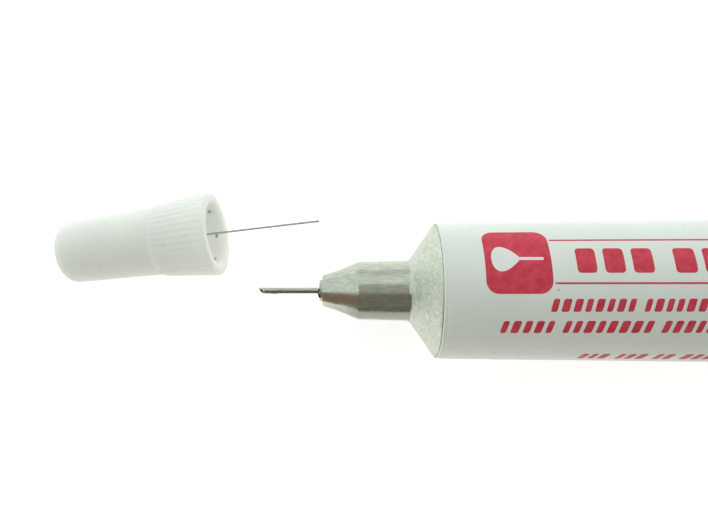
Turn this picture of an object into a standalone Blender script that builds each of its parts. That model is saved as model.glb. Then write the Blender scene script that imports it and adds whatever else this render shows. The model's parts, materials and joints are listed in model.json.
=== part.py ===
"""Collapsible tube of hobby cement with a needle nozzle, and its cap with a cleaning wire lying beside it.

The tube lies on its belly with its nozzle towards -X, and the cap lies off the needle's tip, its mouth turned
towards the tube. Sizes below are millimetres, and the meshes are made in metres. +Z is up, and z = 0 is the table.
Each piece is made in the frame of its own body: +X runs along the tube from its shoulder rim to its tail,
and along the cap from its closed end to its mouth.
"""
import math

import bmesh
import bpy
from mathutils import Matrix, Vector

MM = 0.001
RIGHT_ANGLE = math.pi / 2

# Tube wall: a drawn cylinder, pressed flat at the tail, so that every section keeps one perimeter
TUBE_RADIUS = 8.0
WALL = 0.16
BELLY_END = 32.0          # where the gentle taper of the belly ends
BELLY_RATE = 0.0147       # half-thickness lost in each millimetre of the belly
FLAT_START = 75.4         # where the wall is pressed flat
FLAT_HALF_THICKNESS = 0.36
TAPER_POWER = 1.7         # how the tail's wedge rounds off from the belly
FOLD_LENGTH = 4.6
FOLD_BELOW = 0.42         # the folded strip's faces, below and above the tube's mid plane
FOLD_ABOVE = 0.92
TUBE_SIDES = 48
WALL_STATIONS = 16

# Shoulder, neck and nose, turned in one
RIM_LAND = 0.35           # cylindrical land at the shoulder's rim
NECK_START = -3.2
NECK_END = -9.1
NOSE_KNEE = (-11.35, 2.44)  # where the nose's taper eases off, and its radius there
NOSE_END = -13.3
NECK_ROOT_RADIUS = 3.56
NECK_END_RADIUS = 3.4
NOSE_END_RADIUS = 1.83
NECK_BORE_RADIUS = 2.5
SHOULDER_WALL = 0.8
NECK_FILLET = 0.6
NOZZLE_SIDES = 48

# Needle, its hub staked in the nose, and the bead that seals it
HUB_RADIUS = 1.27
HUB_FRONT = -13.65
HUB_FLANGE_RADIUS = 2.3
HUB_FLANGE = (-10.4, -9.5)
NEEDLE_RADIUS = 0.36
NEEDLE_BORE_RADIUS = 0.205
NEEDLE_TIP = -20.9
NEEDLE_BACK = -7.6
NEEDLE_TIP_SLANT = 0.62   # length of the slanting cut at the tip
SEAL_RADIUS = 0.6
SEAL_THICKNESS = 0.12
NEEDLE_SIDES = 16
HUB_SIDES = 24

# Cap: a plain tapered body and a fluted skirt that opens to the mouth
CAP_LENGTH = 19.35
CAP_END_RADIUS = 3.84     # where the cap's side would meet its flat end
CAP_END_ROUND = 1.35
CAP_BODY_END = 11.95
CAP_BODY_RADIUS = 4.19
SKIRT_START = 12.3
SKIRT_RADIUS = 4.43
MOUTH_RADIUS = 5.16
MOUTH_ROUND = 0.45
FLUTES = 40
FLUTE_DEPTH = 0.09
FLUTE_START = 12.6
FLUTE_END = 18.6
CAP_BORE_RADIUS = 3.62    # slides on the neck
CAP_BORE_DEPTH = 6.2
CAP_NOSE_DEPTH = 10.6     # past it the cavity is only as wide as the needle needs
CAP_CORE_RADIUS = 2.3
CAP_CORE_DEPTH = 17.9
WIRE_RADIUS = 0.125
WIRE_BEYOND_MOUTH = 12.7
WIRE_SOCKET_DEPTH = 18.9  # how far in from the mouth the wire's root is moulded in
WIRE_LEAN = math.radians(0.3)  # the wire isn't quite straight in its cap
WIRE_SIDES = 12

# How the two bodies lie
CAP_MOUTH_FROM_RIM = (-26.4, 6.92)
CAP_HEADING = math.radians(7.2)

# Clearance kept between neighbours, and between the soft filling and the wall's slightly twisted faces
GAP = 0.03
SOFT_GAP = 0.12


def material(name, colour, roughness, metallic):
    """A Principled BSDF material."""
    made = bpy.data.materials.new(name)
    made.use_nodes = True
    shader = made.node_tree.nodes["Principled BSDF"]
    shader.inputs["Base Color"].default_value = (*colour, 1.0)
    shader.inputs["Roughness"].default_value = roughness
    shader.inputs["Metallic"].default_value = metallic
    return made


def loft(name, rings, parent, finish, closed=False):
    """Skin a row of rings of points, in millimetres, into one closed body.

    A ring of one point is a pole. A closed row joins its last ring to its first and so encloses a hole.
    """
    mesh = bmesh.new()
    rows = [[mesh.verts.new(Vector(point) * MM) for point in ring] for ring in rings]
    following = rows[1:] + rows[:1] if closed else rows[1:]
    for here, there in zip(rows, following):
        skin(mesh, here, there)
    bmesh.ops.recalc_face_normals(mesh, faces=mesh.faces)
    data = bpy.data.meshes.new(name)
    mesh.to_mesh(data)
    mesh.free()
    data.shade_smooth()
    data.set_sharp_from_angle(angle=math.radians(28))
    data.materials.append(finish)
    piece = bpy.data.objects.new(name, data)
    piece.parent = parent
    bpy.context.scene.collection.objects.link(piece)
    return piece


def skin(mesh, here, there):
    """Join two rings with faces, as quads or as a fan about a pole."""
    sides = max(len(here), len(there))
    for side in range(sides):
        after = (side + 1) % sides
        if len(here) == 1:
            mesh.faces.new((here[0], there[side], there[after]))
        elif len(there) == 1:
            mesh.faces.new((here[side], there[0], here[after]))
        else:
            mesh.faces.new((here[side], there[side], there[after], here[after]))


def circle(x, radius, sides):
    """A ring about the X axis, or its pole where the radius is nothing."""
    if radius == 0:
        return [(x, 0, 0)]
    angles = (2 * math.pi * side / sides for side in range(sides))
    return [(x, radius * math.cos(a), radius * math.sin(a)) for a in angles]


def turned(name, profile, sides, parent, finish, closed=False):
    """Turn a profile of (x, radius) points about the X axis."""
    return loft(name, [circle(x, radius, sides) for x, radius in profile], parent, finish, closed)


def arc(centre, radius, start, end, steps):
    """Points on an arc in a profile's plane, from one angle to another in degrees."""
    angles = (math.radians(start + (end - start) * step / steps) for step in range(steps + 1))
    return [(centre[0] + radius * math.cos(a), centre[1] + radius * math.sin(a)) for a in angles]


def half_thickness(x):
    """Half the tube's thickness: a gentle taper along the belly, then a wedge down to the flat tail."""
    belly = TUBE_RADIUS - BELLY_RATE * x
    if x <= BELLY_END:
        return belly
    flat_loss = TUBE_RADIUS - BELLY_RATE * FLAT_START - FLAT_HALF_THICKNESS
    along = (x - BELLY_END) / (FLAT_START - BELLY_END)
    return belly - flat_loss * along**TAPER_POWER


def half_width(thickness):
    """The half-width of an ellipse of this half-thickness whose perimeter is the drawn cylinder's."""
    low, high = thickness, RIGHT_ANGLE * TUBE_RADIUS
    for _ in range(50):
        width = (low + high) / 2
        if ellipse_perimeter(width, thickness) < 2 * math.pi * TUBE_RADIUS:
            low = width
        else:
            high = width
    return low


def ellipse_perimeter(a, b):
    """Ramanujan's approximation."""
    return math.pi * (3 * (a + b) - math.sqrt((3 * a + b) * (a + 3 * b)))


def tube_section(x, inset):
    """The tube's elliptical section, drawn in by an inset all round."""
    thickness = half_thickness(x)
    across = half_width(thickness) - inset
    angles = (2 * math.pi * side / TUBE_SIDES for side in range(TUBE_SIDES))
    return [(x, across * math.cos(a), (thickness - inset) * math.sin(a)) for a in angles]


def strip_section(x):
    """The folded strip's section, an exact rectangle with a point at each corner."""
    across = half_width(FLAT_HALF_THICKNESS)
    middle = (FOLD_ABOVE - FOLD_BELOW) / 2
    high = (FOLD_ABOVE + FOLD_BELOW) / 2
    points = []
    for side in range(TUBE_SIDES):
        angle = 2 * math.pi * side / TUBE_SIDES
        y = min(1.0, max(-1.0, 1.5 * math.cos(angle)))
        z = min(1.0, max(-1.0, 1.5 * math.sin(angle)))
        points.append((x, across * y, middle + high * z))
    return points


def wall_stations():
    """Places along the wall, closer together towards the tail.

    What fills the wall shares them, so that the two keep their gap between the stations as well.
    """
    return [FLAT_START * (1 - (1 - step / WALL_STATIONS) ** 1.3) for step in range(WALL_STATIONS + 1)]


def make_tube_wall(parent, finish):
    """The printed wall with its folded tail: a deep cup, open at the shoulder."""
    outside = [tube_section(x, 0) for x in wall_stations()]
    fold_start = FLAT_START + GAP
    strip = [strip_section(fold_start), strip_section(fold_start + FOLD_LENGTH)]
    tail_pole = [(fold_start + FOLD_LENGTH, 0, (FOLD_ABOVE - FOLD_BELOW) / 2)]
    inside = [tube_section(x, WALL) for x in wall_stations()]
    inner_pole = [(FLAT_START, 0, 0)]
    rings = [inner_pole, *reversed(inside), *outside, *strip, tail_pole]
    return loft("tube_wall", rings, parent, finish)


def make_nozzle_shoulder(parent, finish):
    """The bare shoulder cone, neck and nose, with the neck's bore and the nose's seat for the hub."""
    slope = (TUBE_RADIUS - NECK_ROOT_RADIUS) / -NECK_START
    land = (-GAP, TUBE_RADIUS - 0.02), (-GAP - RIM_LAND, TUBE_RADIUS - 0.06)
    cone_foot = (NECK_START + NECK_FILLET * 0.35, NECK_ROOT_RADIUS + NECK_FILLET * 0.62)
    neck_root = (NECK_START - NECK_FILLET, NECK_ROOT_RADIUS)
    bend = (NECK_START - NECK_FILLET * 0.2, NECK_ROOT_RADIUS + NECK_FILLET * 0.18)
    outside = [
        *land,
        cone_foot,
        bend,
        neck_root,
        (NECK_END, NECK_END_RADIUS),
        NOSE_KNEE,
        (NOSE_END, NOSE_END_RADIUS),
    ]
    seat = HUB_RADIUS + GAP
    flange_seat = HUB_FLANGE[0] - GAP
    inner_rim = TUBE_RADIUS - SHOULDER_WALL * math.hypot(1, slope) / slope
    inside = [
        (NOSE_END, seat),
        (flange_seat, seat),
        (flange_seat, NECK_BORE_RADIUS),
        (-(inner_rim - NECK_BORE_RADIUS) / slope, NECK_BORE_RADIUS),
        (-GAP, inner_rim),
    ]
    return turned("nozzle_shoulder", outside + inside, NOZZLE_SIDES, parent, finish, closed=True)


def make_needle_hub(parent, finish):
    """The bush that holds the needle: a stem through the nose and a flange behind it."""
    bore = NEEDLE_RADIUS + GAP
    flange_front, flange_back = HUB_FLANGE
    profile = [
        (HUB_FRONT, bore),
        (HUB_FRONT, HUB_RADIUS - 0.1),
        (HUB_FRONT + 0.1, HUB_RADIUS),
        (flange_front, HUB_RADIUS),
        (flange_front, HUB_FLANGE_RADIUS),
        (flange_back, HUB_FLANGE_RADIUS),
        (flange_back, bore),
    ]
    return turned("needle_hub", profile, HUB_SIDES, parent, finish, closed=True)


def make_needle(parent, finish):
    """A thin steel tube, cut square behind and on a slant at its tip."""
    rings = [
        circle(NEEDLE_TIP, NEEDLE_RADIUS, NEEDLE_SIDES),
        circle(NEEDLE_BACK, NEEDLE_RADIUS, NEEDLE_SIDES),
        circle(NEEDLE_BACK, NEEDLE_BORE_RADIUS, NEEDLE_SIDES),
        circle(NEEDLE_TIP, NEEDLE_BORE_RADIUS, NEEDLE_SIDES),
    ]
    for ring in (0, 3):
        rings[ring] = [(x + slant_at(y), y, z) for x, y, z in rings[ring]]
    return loft("needle", rings, parent, finish, closed=True)


def slant_at(y):
    """How far the slanting cut lies behind the needle's foremost point."""
    return NEEDLE_TIP_SLANT * (NEEDLE_RADIUS - y) / (2 * NEEDLE_RADIUS)


def make_needle_seal(parent, finish):
    """The bead of sealant round the needle, on the hub's front face."""
    back = HUB_FRONT - GAP
    front = back - SEAL_THICKNESS
    bore = NEEDLE_RADIUS + GAP
    profile = [(front, bore), (front, SEAL_RADIUS * 0.8), (back, SEAL_RADIUS), (back, bore)]
    return turned("needle_seal", profile, HUB_SIDES, parent, finish, closed=True)


def make_end_seal(parent, finish):
    """The band of latex in the wall's last open stretch, which seals the folded end from inside."""
    stations = wall_stations()[-3:-1]
    sections = [tube_section(x, WALL + SOFT_GAP) for x in stations]
    front_pole, back_pole = [(stations[0], 0, 0)], [(stations[-1], 0, 0)]
    return loft("end_seal", [front_pole, *sections, back_pole], parent, finish)


def make_cement(parent, finish):
    """The contents, which fill the wall from the shoulder to the end seal."""
    stations = wall_stations()[:-2]
    stations[0] += GAP
    stations[-1] -= GAP
    sections = [tube_section(x, WALL + SOFT_GAP) for x in stations]
    front_pole, back_pole = [(stations[0], 0, 0)], [(stations[-1], 0, 0)]
    return loft("cement", [front_pole, *sections, back_pole], parent, finish)


def cap_outside():
    """The cap's outer profile, from the middle of its closed end to its mouth."""
    side = math.degrees(math.atan2(CAP_BODY_RADIUS - CAP_END_RADIUS, CAP_BODY_END))
    corner = cap_end_corner()
    lip = mouth_lip()
    return [
        (0, 0),
        *arc(corner, CAP_END_ROUND, 180, 90 + side, 5),
        (CAP_BODY_END, CAP_BODY_RADIUS),
        (SKIRT_START, SKIRT_RADIUS),
        (FLUTE_START, skirt_radius(FLUTE_START)),
        (FLUTE_END, skirt_radius(FLUTE_END)),
        (FLUTE_END + 0.25, skirt_radius(FLUTE_END + 0.25)),
        *arc(lip, MOUTH_ROUND, 95, 0, 4),
    ]


def cap_end_corner():
    """The centre of the arc that rounds the closed end."""
    return CAP_END_ROUND, CAP_END_RADIUS - CAP_END_ROUND


def mouth_lip():
    """The centre of the arc that rounds the mouth's outer edge."""
    return CAP_LENGTH - MOUTH_ROUND, MOUTH_RADIUS - MOUTH_ROUND


def skirt_radius(x):
    """The skirt's radius over its flutes."""
    along = (x - SKIRT_START) / (CAP_LENGTH - MOUTH_ROUND - SKIRT_START)
    return SKIRT_RADIUS + (MOUTH_RADIUS - SKIRT_RADIUS) * along


def cap_inside():
    """The cap's cavity, from its mouth to the root of the wire's socket."""
    lead_in = 0.3
    socket = WIRE_RADIUS + GAP
    return [
        (CAP_LENGTH, CAP_BORE_RADIUS + lead_in),
        (CAP_LENGTH - lead_in, CAP_BORE_RADIUS),
        (CAP_LENGTH - CAP_BORE_DEPTH, CAP_BORE_RADIUS - 0.1),
        (CAP_LENGTH - CAP_NOSE_DEPTH, CAP_CORE_RADIUS),
        (CAP_LENGTH - CAP_CORE_DEPTH, CAP_CORE_RADIUS - 0.1),
        (CAP_LENGTH - CAP_CORE_DEPTH, socket),
        (CAP_LENGTH - WIRE_SOCKET_DEPTH - GAP, socket),
        (CAP_LENGTH - WIRE_SOCKET_DEPTH - GAP, 0),
    ]


def make_cap_shell(parent, finish):
    """The moulded cap. Two sides of its turned shape make one flute."""
    outside = [circle(x, radius, 2 * FLUTES) for x, radius in cap_outside()]
    for ring in outside:
        if FLUTE_START - GAP < ring[0][0] < FLUTE_END + GAP:
            ring[1::2] = [sunk(point) for point in ring[1::2]]
    inside = [circle(x, radius, 2 * FLUTES) for x, radius in cap_inside()]
    return loft("cap_shell", outside + inside, parent, finish)


def sunk(point):
    """A point of a flute's valley."""
    x, y, z = point
    share = 1 - FLUTE_DEPTH / math.hypot(y, z)
    return x, y * share, z * share


def make_cleaning_wire(parent, finish):
    """The straight wire that the cap's closed end holds, which keeps the needle's bore clear."""
    root = CAP_LENGTH - WIRE_SOCKET_DEPTH
    tip = CAP_LENGTH + WIRE_BEYOND_MOUTH
    profile = [(root, 0), (root, WIRE_RADIUS), (tip - 0.05, WIRE_RADIUS), (tip, 0.08), (tip, 0)]
    wire = turned("cleaning_wire", profile, WIRE_SIDES, parent, finish)
    wire.rotation_euler.z = -WIRE_LEAN
    return wire


def bottle_frame():
    """The tube's frame: the line under the belly lies on the table, which turns the nozzle up a little."""
    turn = math.atan(BELLY_RATE)
    frame = bpy.data.objects.new("bottle_frame", None)
    height = TUBE_RADIUS * math.cos(turn) * MM
    frame.matrix_world = Matrix.Translation((0, 0, height)) @ Matrix.Rotation(turn, 4, "Y")
    bpy.context.scene.collection.objects.link(frame)
    return frame


def cap_frame():
    """The cap's frame: it lies on its closed end's edge and its mouth's edge, on one tangent to both."""
    end, lip = cap_end_corner(), mouth_lip()
    reach = math.dist(end, lip)
    tilt = math.atan2(lip[1] - end[1], lip[0] - end[0]) + math.asin((MOUTH_ROUND - CAP_END_ROUND) / reach)
    height = CAP_END_ROUND + end[1] * math.cos(tilt) - end[0] * math.sin(tilt)
    turn = Matrix.Rotation(CAP_HEADING, 4, "Z") @ Matrix.Rotation(-tilt, 4, "Y")
    mouth = turn @ Vector((CAP_LENGTH, 0, 0))
    place = Vector((CAP_MOUTH_FROM_RIM[0] - mouth.x, CAP_MOUTH_FROM_RIM[1] - mouth.y, height))
    frame = bpy.data.objects.new("cap_frame", None)
    frame.matrix_world = Matrix.Translation(place * MM) @ turn
    bpy.context.scene.collection.objects.link(frame)
    return frame


def centre_lengthwise(frames, pieces):
    """Move both frames along X, so that the middle of the whole lies at x = 0."""
    bpy.context.view_layer.update()
    reaches = [(piece.matrix_world @ vertex.co).x for piece in pieces for vertex in piece.data.vertices]
    middle = (min(reaches) + max(reaches)) / 2
    for frame in frames:
        frame.location.x -= middle


def main():
    for old in list(bpy.data.objects):
        bpy.data.objects.remove(old, do_unlink=True)
    enamel = material("white_enamel", (0.80, 0.83, 0.80), 0.32, 0.0)
    aluminium = material("bare_aluminium", (0.72, 0.73, 0.70), 0.38, 1.0)
    hub_metal = material("hub_metal", (0.66, 0.66, 0.62), 0.35, 1.0)
    steel = material("needle_steel", (0.52, 0.51, 0.47), 0.25, 1.0)
    wire_steel = material("wire_steel", (0.50, 0.53, 0.50), 0.3, 1.0)
    sealant = material("sealant", (0.05, 0.045, 0.04), 0.5, 0.0)
    latex = material("latex", (0.72, 0.66, 0.45), 0.6, 0.0)
    contents = material("clear_cement", (0.86, 0.86, 0.80), 0.1, 0.0)
    plastic = material("white_plastic", (0.86, 0.88, 0.86), 0.42, 0.0)

    bottle, cap = bottle_frame(), cap_frame()
    pieces = [
        make_tube_wall(bottle, enamel),
        make_nozzle_shoulder(bottle, aluminium),
        make_needle_hub(bottle, hub_metal),
        make_needle(bottle, steel),
        make_needle_seal(bottle, sealant),
        make_end_seal(bottle, latex),
        make_cement(bottle, contents),
        make_cap_shell(cap, plastic),
        make_cleaning_wire(cap, wire_steel),
    ]
    centre_lengthwise((bottle, cap), pieces)


main()
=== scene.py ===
"""The looks of the glue tube: its enamelled wall, folded tail, print, nozzle, needle, cap and wire.

Pieces are shaped in millimetres in the frame of their own body, where +X runs along the tube from
its shoulder rim to its tail, or along the cap from its closed end to its mouth. That frame then
carries their points into the row frame, in metres.
"""

import json
import math
import random

import bpy
import numpy as np
from mathutils import Matrix, Vector, noise

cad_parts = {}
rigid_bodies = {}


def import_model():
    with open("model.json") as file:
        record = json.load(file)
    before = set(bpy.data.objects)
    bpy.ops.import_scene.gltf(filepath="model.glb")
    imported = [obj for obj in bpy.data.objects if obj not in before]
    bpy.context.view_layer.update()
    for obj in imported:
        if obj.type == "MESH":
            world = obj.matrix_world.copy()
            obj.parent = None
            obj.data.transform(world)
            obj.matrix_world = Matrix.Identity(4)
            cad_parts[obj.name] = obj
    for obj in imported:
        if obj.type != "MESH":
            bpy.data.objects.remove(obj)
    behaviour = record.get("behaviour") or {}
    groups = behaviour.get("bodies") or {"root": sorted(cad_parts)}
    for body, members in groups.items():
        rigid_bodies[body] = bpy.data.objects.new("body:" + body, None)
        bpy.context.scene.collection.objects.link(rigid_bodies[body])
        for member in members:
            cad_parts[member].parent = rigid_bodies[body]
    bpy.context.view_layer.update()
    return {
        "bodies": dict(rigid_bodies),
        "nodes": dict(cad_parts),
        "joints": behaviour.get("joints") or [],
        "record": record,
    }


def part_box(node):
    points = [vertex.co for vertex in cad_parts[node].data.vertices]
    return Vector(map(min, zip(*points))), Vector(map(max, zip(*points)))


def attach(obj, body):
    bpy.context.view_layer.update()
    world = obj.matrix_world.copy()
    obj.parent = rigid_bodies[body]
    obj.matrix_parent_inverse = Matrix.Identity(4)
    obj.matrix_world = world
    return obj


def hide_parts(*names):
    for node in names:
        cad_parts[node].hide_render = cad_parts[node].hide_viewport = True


MM = 0.001

# The tube's wall, as the CAD model has it
TUBE_RADIUS = 8.0
WALL = 0.16
BELLY_END = 32.0
BELLY_RATE = 0.0147
FLAT_START = 75.4
FLAT_HALF_THICKNESS = 0.36
TAPER_POWER = 1.7
FOLD_BELOW = 0.42
FOLD_ABOVE = 0.92
FOLD_START = 75.6
FOLD_END = 80.0
PRESS_PITCH = 0.78
PRESS_DEPTH = 0.055
WALL_SIDES = 224

# The enamelled bead round the rim, from under its edge on the shoulder to the groove behind it
RIM_BEAD = (
    (0.0, 7.76), (-0.10, 7.77), (-0.15, 7.81), (-0.16, 7.87), (-0.12, 7.925), (-0.04, 7.965),
    (0.06, 7.98), (0.16, 7.96), (0.22, 7.935), (0.29, 7.95), (0.42, 7.98),
)

# Shoulder, neck and nose
CONE_STEP = -1.55
CONE_END = (-2.75, 4.09)
NECK_START = -3.1
NECK_ROOT_RADIUS = 3.56
NECK_END = -9.1
NECK_END_RADIUS = 3.4
NOSE_KNEE = (-11.35, 2.44)
NOSE_END = -13.3
NOSE_END_RADIUS = 1.83
NECK_BORE_RADIUS = 2.5
NOZZLE_SIDES = 192

# Needle and hub
HUB_FRONT = -13.65
HUB_RADIUS = 1.27
HUB_BACK = -9.5
HUB_FLANGE = -10.4
HUB_FLANGE_RADIUS = 2.3
HUB_SIDES = 96
NEEDLE_RADIUS = 0.36
NEEDLE_BORE_RADIUS = 0.205
NEEDLE_TIP = -20.9
NEEDLE_ROUND_START = -19.6
NEEDLE_BACK = -7.6
NEEDLE_SIDES = 48
TIP_SLANT = 0.8
TIP_FALLS_BACK = (-0.64, 0.77)
SMEAR_START = -20.0
SMEAR_LENGTH = 2.1
RESIDUE = (
    ("upper_residue", (-13.63, 0.13, 1.16), 0.17),
    ("lower_residue", (-13.62, -0.56, 1.04), 0.22),
)

# Cap
CAP_LENGTH = 19.35
CAP_END_RADIUS = 3.84
CAP_END_ROUND = 1.35
CAP_BODY_END = 11.95
CAP_BODY_RADIUS = 4.19
SKIRT_START = 12.3
STEP_END = 12.7
SKIRT_RADIUS = 4.43
MOUTH_RADIUS = 5.16
MOUTH_ROUND = 0.45
MOUTH_INNER_ROUND = 0.7
FLUTES = 40
FLUTE_DEPTH = 0.10
FLUTE_START = 12.3
FLUTE_END = 19.1
CAP_SIDES = FLUTES * 12
CAP_BORE_RADIUS = 3.62
CAP_BORE_DEPTH = 6.2
CAP_BORE_TAPER = 0.016
CAP_CORE_START = 10.6
CAP_CORE_END = 1.45
CAP_CORE_RADIUS = 2.3
NUB_DEPTH = 1.15
NUB_HEIGHT = 0.28
NUB_TURNS = range(29, 360, 60)
WIRE_RADIUS = 0.125
WIRE_ROOT = 0.45
WIRE_TIP = CAP_LENGTH + 12.7
WIRE_LEAN = math.radians(0.3)
WIRE_BOW = 0.12
WIRE_SIDES = 20
CAP_MOUTH_FROM_RIM = (-26.4, 6.92)
CAP_HEADING = math.radians(7.2)

# Print: how far its ink stands off the wall and how thick it is, the arc length of the tile's
# middle line, and the seed of the blocks' widths
INK_LIFT = 0.012
TILE_LIGHT_LIFT = 0.02
INK_THICKNESS = 0.03
TILE_LINE = -3.83
BLOCK_SEED = 5

# Camera, over the needle and looking straight down
CAMERA_PLACE = (-26.65, 2.95, 79.0)
FOCAL_PIXELS = 600.0
IMAGE_WIDTH = 708.0
SENSOR = 36.0

# Floor: half its side and its gap below the table's plane, in metres, and its glow
FLOOR_REACH = 3.0
FLOOR_GAP = 0.00002
FLOOR_GLOW = 0.55

# Radiance of the light tent: its lit walls, their far edge, its opening overhead, and its dim side
TENT_LIGHT = (0.94, 1.005, 1.01, 1)
TENT_EDGE_LIGHT = (0.76, 0.805, 0.79, 1)
OVERHEAD_LIGHT = (0.49, 0.49, 0.445, 1)
DIM_LIGHT = (0.235, 0.222, 0.19, 1)

# Where the tent passes from one part to the next, as a direction's Y, X or Z
DIM_TO_OVERHEAD_Y = (-0.25, -0.05)
OVERHEAD_TO_END_X = (-0.15, -0.5)
OVERHEAD_TO_WALL_Y = (0.36, 0.54)
WALL_TO_EDGE_Y = (0.8, 0.97)
DIM_TO_HORIZON_Z = (0.07, 0.0)


# ---------------------------------------------------------------- frames

def bottle_frame():
    """The tube's frame in the row frame."""
    turn = math.atan(BELLY_RATE)
    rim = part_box("tube_wall")[0].x + TUBE_RADIUS * MM * math.sin(turn)
    place = Matrix.Translation((rim, 0, TUBE_RADIUS * MM * math.cos(turn)))
    return place @ Matrix.Rotation(turn, 4, "Y") @ Matrix.Scale(MM, 4)


def cap_frame(rim):
    """The cap's frame in the row frame, lying on its closed end's edge and its mouth's edge."""
    end = (CAP_END_ROUND, CAP_END_RADIUS - CAP_END_ROUND)
    lip = (CAP_LENGTH - MOUTH_ROUND, MOUTH_RADIUS - MOUTH_ROUND)
    tilt = math.atan2(lip[1] - end[1], lip[0] - end[0])
    tilt += math.asin((MOUTH_ROUND - CAP_END_ROUND) / math.dist(end, lip))
    height = CAP_END_ROUND + end[1] * math.cos(tilt) - end[0] * math.sin(tilt)
    turn = Matrix.Rotation(CAP_HEADING, 4, "Z") @ Matrix.Rotation(-tilt, 4, "Y")
    mouth = turn @ Vector((CAP_LENGTH, 0, 0))
    corner = (rim / MM + CAP_MOUTH_FROM_RIM[0] - mouth.x, CAP_MOUTH_FROM_RIM[1] - mouth.y, height)
    return Matrix.Translation(Vector(corner) * MM) @ turn @ Matrix.Scale(MM, 4)


# ---------------------------------------------------------------- meshes

def piece(name, rings, frame, finish, closed=False, sharp=30):
    """Skin a row of equal rings of points into one closed body.

    The first and the last ring are closed with a fan about their middle, unless the row is closed
    on itself.
    """
    rings = np.asarray(rings, float)
    rows, sides, _ = rings.shape
    points = rings.reshape(-1, 3)
    side = np.arange(sides)
    after = (side + 1) % sides
    faces = []
    for row in range(rows if closed else rows - 1):
        here, there = row * sides, (row + 1) % rows * sides
        faces += np.stack([here + side, there + side, there + after, here + after], 1).tolist()
    if not closed:
        points = np.vstack([points, rings[0].mean(0), rings[-1].mean(0)])
        front, back = len(points) - 2, len(points) - 1
        faces += [[front, a, b] for a, b in zip(side, after)]
        last = (rows - 1) * sides
        faces += [[back, last + b, last + a] for a, b in zip(side, after)]
    return body(name, points, faces, frame, finish, sharp)


def body(name, points, faces, frame, finish, sharp=30):
    """An object from points in millimetres and faces, with its faces turned outwards."""
    data = bpy.data.meshes.new(name)
    data.from_pydata(np.asarray(points).tolist(), [], [list(map(int, face)) for face in faces])
    data.transform(frame)
    data.validate()
    turn_outwards(data)
    data.shade_smooth()
    data.set_sharp_from_angle(angle=math.radians(sharp))
    data.materials.append(finish)
    made = bpy.data.objects.new(name, data)
    bpy.context.scene.collection.objects.link(made)
    return made


def turn_outwards(data):
    """Flip a closed mesh whose volume comes out negative."""
    data.calc_loop_triangles()
    corners = np.empty(len(data.vertices) * 3)
    data.vertices.foreach_get("co", corners)
    corners = corners.reshape(-1, 3)
    triangles = np.empty(len(data.loop_triangles) * 3, int)
    data.loop_triangles.foreach_get("vertices", triangles)
    a, b, c = (corners[triangles.reshape(-1, 3)[:, k]] for k in range(3))
    if np.einsum("ij,ij->i", a, np.cross(b, c)).sum() < 0:
        data.flip_normals()


def circle(x, radius, sides, centre=(0, 0)):
    """A ring about the X axis or about a line beside it."""
    angles = 2 * np.pi * np.arange(sides) / sides
    across = centre[0] + radius * np.cos(angles)
    return np.stack([np.full(sides, x), across, centre[1] + radius * np.sin(angles)], 1)


def arc(centre, radius, start, end, steps):
    """Points on an arc in a profile's plane, from one angle to another in degrees."""
    angles = np.radians(np.linspace(start, end, steps + 1))
    return [(centre[0] + radius * math.cos(a), centre[1] + radius * math.sin(a)) for a in angles]


def line(start, end, steps):
    """Points from start to just before end."""
    return [tuple(np.add(start, np.subtract(end, start) * k / steps)) for k in range(steps)]


def smoothstep(value, low, high):
    """How far a value is from low to high, eased at both ends."""
    share = np.clip((value - low) / (high - low), 0, 1)
    return share * share * (3 - 2 * share)


# ---------------------------------------------------------------- tube wall

def half_thickness(x):
    """Half the tube's thickness: a gentle taper along the belly, then a wedge to the flat tail."""
    belly = TUBE_RADIUS - BELLY_RATE * x
    if x <= BELLY_END:
        return belly
    flat_loss = TUBE_RADIUS - BELLY_RATE * FLAT_START - FLAT_HALF_THICKNESS
    return belly - flat_loss * ((x - BELLY_END) / (FLAT_START - BELLY_END)) ** TAPER_POWER


def half_width(thickness):
    """The half-width of the ellipse of this half-thickness with the drawn cylinder's perimeter."""
    low, high = thickness, math.pi / 2 * TUBE_RADIUS
    for _ in range(40):
        width = (low + high) / 2
        spread = math.sqrt((3 * width + thickness) * (width + 3 * thickness))
        if math.pi * (3 * (width + thickness) - spread) < 2 * math.pi * TUBE_RADIUS:
            low = width
        else:
            high = width
    return low


def wall_points(x, along, inset=0.0):
    """Points of the wall's section at x, at these arc lengths from its top line towards -Y.

    Hand pressure leaves shallow dents, which only go inwards, and the tail's press leaves creases
    near the fold.
    """
    thickness = half_thickness(max(x, 0.0))
    width = half_width(thickness)
    fine = np.linspace(-math.pi, math.pi, 721)
    outline = np.stack([-width * np.sin(fine), thickness * np.cos(fine)], 1)
    lengths = np.concatenate([[0], np.cumsum(np.linalg.norm(np.diff(outline, axis=0), axis=1))])
    half = lengths[-1] / 2
    turn = np.interp(np.asarray(along) / (math.pi * TUBE_RADIUS) * half, lengths - half, fine)
    normal = np.stack([-np.sin(turn) / width, np.cos(turn) / thickness], 1)
    normal /= np.linalg.norm(normal, axis=1)[:, None]
    depth = inset + np.array([dent(x, t) for t in turn]) + creases(x, np.asarray(along))
    across = np.stack([-width * np.sin(turn), thickness * np.cos(turn)], 1)
    across -= normal * depth[:, None]
    return np.column_stack([np.full(len(across), x), across])


def dent(x, turn):
    """How deep the wall is pressed in here, in millimetres."""
    where = Vector((x * 0.055, 1.1 * math.cos(turn), 1.1 * math.sin(turn)))
    broad = max(0.0, noise.noise(where) + 0.05)
    far = float(smoothstep(x, 26, 60)) * (1 - float(smoothstep(x, 68, FLAT_START)))
    return broad * (0.02 + 0.55 * far)


def creases(x, along):
    """Fine gathers that run out of the folded strip along the wall."""
    reach = float(smoothstep(x, 66.5, 75)) * 0.045
    return reach * (0.5 + 0.5 * np.sin(along * 2.1 + 1.3 * np.sin(along * 0.7)))


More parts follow.
